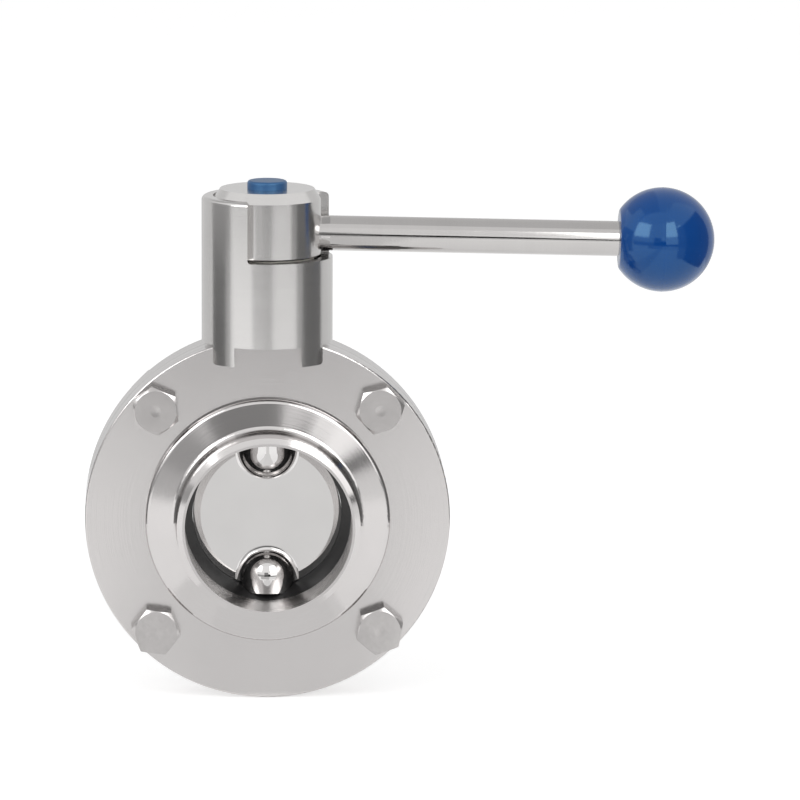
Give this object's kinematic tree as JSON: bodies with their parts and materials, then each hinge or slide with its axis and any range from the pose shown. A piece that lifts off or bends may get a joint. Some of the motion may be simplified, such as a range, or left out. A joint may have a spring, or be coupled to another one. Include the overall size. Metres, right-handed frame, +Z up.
{
  "type": "sanitary butterfly valve",
  "caption": "Manual sanitary butterfly valve with weld ends, bolted flanged body halves, a rubber seat, a polished disc, a column bonnet and a ball-knob lever that turns a quarter.",
  "frame": {"origin": "centre of the inlet weld end's face, on the axis of the pipe", "axes": "+Y along the pipe through the valve to the outlet, +Z up the stem, and +X the way the lever points with the disc closed"},
  "size_m": [0.176, 0.052, 0.145],
  "materials": {
    "body_steel": "fine satin turned stainless steel",
    "polished_steel": "bright polished stainless steel",
    "disc_steel": "mirror polished stainless steel",
    "fastener_steel": "plain stainless steel",
    "insert_brass": "turned brass",
    "seal_rubber": "smooth black rubber",
    "bushing_plastic": "plain off-white bearing plastic",
    "plug_plastic": "moulded blue plastic",
    "knob_plastic": "glossy moulded blue plastic"
  },
  "bodies": {
    "valve_body": {"front_body_half": "body_steel", "rear_body_half": "body_steel", "seat_seal": "seal_rubber", "upper_stem_bushing": "bushing_plastic", "lower_trunnion_bushing": "bushing_plastic", "bonnet": "polished_steel", "bonnet_bushing": "bushing_plastic", "body_bolt_1": "fastener_steel", "body_nut_1": "fastener_steel", "body_bolt_2": "fastener_steel", "body_nut_2": "fastener_steel", "body_bolt_3": "fastener_steel", "body_nut_3": "fastener_steel", "body_bolt_4": "fastener_steel", "body_nut_4": "fastener_steel"},
    "handle_and_disc": {"disc_and_stem": "disc_steel", "handle_hub": "polished_steel", "hub_screw": "fastener_steel", "hub_screw_washer": "fastener_steel", "screw_cover_plug": "plug_plastic", "lever_rod": "polished_steel", "knob_insert": "insert_brass", "ball_knob": "knob_plastic"}
  },
  "joints": [
    {"name": "lever_turn", "type": "hinge", "parent": "valve_body", "child": "handle_and_disc", "pos_m": [0, 0.026, 0.0795], "axis": [0, 0, 1], "range_deg": [-90, 0]}
  ]
}
